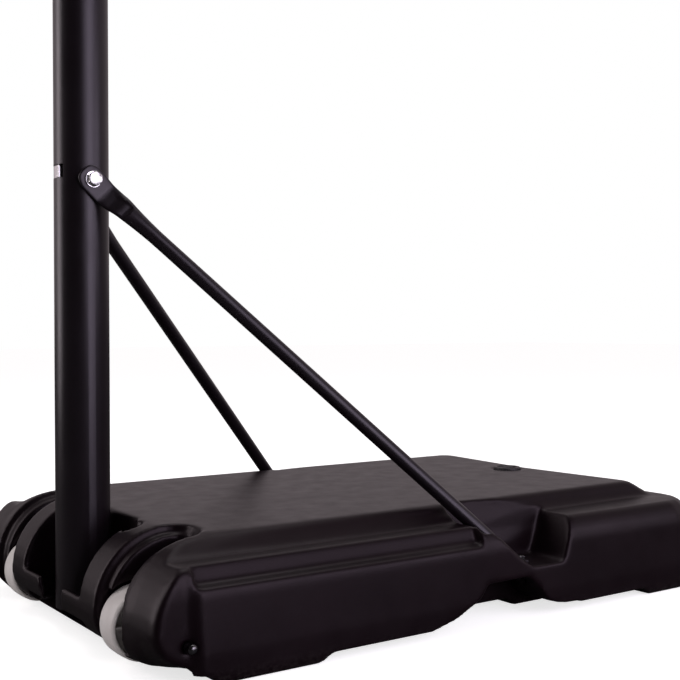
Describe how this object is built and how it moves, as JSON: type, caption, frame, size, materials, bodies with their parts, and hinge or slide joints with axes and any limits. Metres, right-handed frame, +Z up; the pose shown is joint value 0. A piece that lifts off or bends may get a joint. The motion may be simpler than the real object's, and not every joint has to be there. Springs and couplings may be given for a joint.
{
  "type": "basketball stand",
  "caption": "Portable basketball stand: wheeled moulded ballast base, braced round pole in two telescoping parts, clear board, steel rim and cord net.",
  "frame": {"origin": "on the floor under the middle of the base's footprint", "axes": "+X points to the court, from the pole towards the rim; +Y is to the left; +Z is up"},
  "size_m": [0.9365, 1.118, 2.893],
  "materials": {
    "black_plastic": "moulded, fine satin",
    "black_paint": "semi-gloss powder coat",
    "cap_plastic": "moulded, satin",
    "pale_plastic": "moulded, matt",
    "bright_zinc": "bright plated",
    "dark_zinc": "plain",
    "clear_panel": "clear sheet with a printed plain white border and target square",
    "orange_paint": "semi-gloss powder coat",
    "white_cord": "braided cord"
  },
  "bodies": {
    "stand": {"base_tank": "black_plastic", "axle": "dark_zinc", "axle_cap_left": "bright_zinc", "axle_cap_right": "bright_zinc", "lower_pole": "black_paint", "pole_collar": "cap_plastic", "strut_left": "black_paint", "strut_right": "black_paint", "strut_bolt": "bright_zinc", "strut_nut": "bright_zinc", "strut_washer_left": "bright_zinc", "strut_washer_right": "bright_zinc", "foot_bolt_left": "bright_zinc", "foot_bolt_right": "bright_zinc", "foot_nut_left": "bright_zinc", "foot_nut_right": "bright_zinc", "stop_screw": "bright_zinc", "pin_housing": "black_paint", "pin_spring": "dark_zinc"},
    "upper_stand": {"upper_pole": "black_paint", "pole_cap": "cap_plastic", "saddle_lower": "black_paint", "saddle_upper": "black_paint", "u_bolt_lower": "bright_zinc", "u_bolt_upper": "bright_zinc", "u_bolt_nut_lower_left": "bright_zinc", "u_bolt_nut_lower_right": "bright_zinc", "u_bolt_nut_upper_left": "bright_zinc", "u_bolt_nut_upper_right": "bright_zinc", "board_rail_lower": "black_paint", "board_rail_upper": "black_paint", "board_frame": "black_paint", "rim_post": "black_paint", "board_panel": "clear_panel", "rim": "orange_paint", "rim_bolt_0": "bright_zinc", "rim_bolt_1": "bright_zinc", "rim_bolt_2": "bright_zinc", "rim_bolt_3": "bright_zinc", "net_0": "white_cord", "net_1": "white_cord", "net_2": "white_cord", "net_3": "white_cord", "net_4": "white_cord", "net_5": "white_cord", "net_6": "white_cord", "net_7": "white_cord", "net_8": "white_cord", "net_9": "white_cord", "net_10": "white_cord", "net_11": "white_cord"},
    "wheel_left": {"wheel_left": "pale_plastic"},
    "wheel_right": {"wheel_right": "pale_plastic"},
    "filler_cap": {"filler_cap": "cap_plastic"},
    "pull_pin": {"height_pin": "bright_zinc", "pin_knob": "cap_plastic"}
  },
  "joints": [
    {"name": "wheel_left_spin", "type": "hinge", "parent": "stand", "child": "wheel_left", "pos_m": [-0.422, 0.1745, 0.046], "axis": [0, 1, 0], "continuous": true},
    {"name": "wheel_right_spin", "type": "hinge", "parent": "stand", "child": "wheel_right", "pos_m": [-0.422, -0.1745, 0.046], "axis": [0, 1, 0], "continuous": true},
    {"name": "height_slide", "type": "slide", "parent": "stand", "child": "upper_stand", "axis": [0, 0, 1], "range_m": [0, 0.762]},
    {"name": "pin_pull", "type": "slide", "parent": "stand", "child": "pull_pin", "axis": [0, -1, 0], "range_m": [0, 0.012], "stiffness_N_per_m": 1500, "springref_m": -0.004, "deforming": ["pin_spring"]},
    {"name": "filler_cap_turn", "type": "hinge", "parent": "stand", "child": "filler_cap", "pos_m": [0.33, 0, 0.149], "axis": [0, 0, 1], "range_deg": [0, 360]}
  ]
}
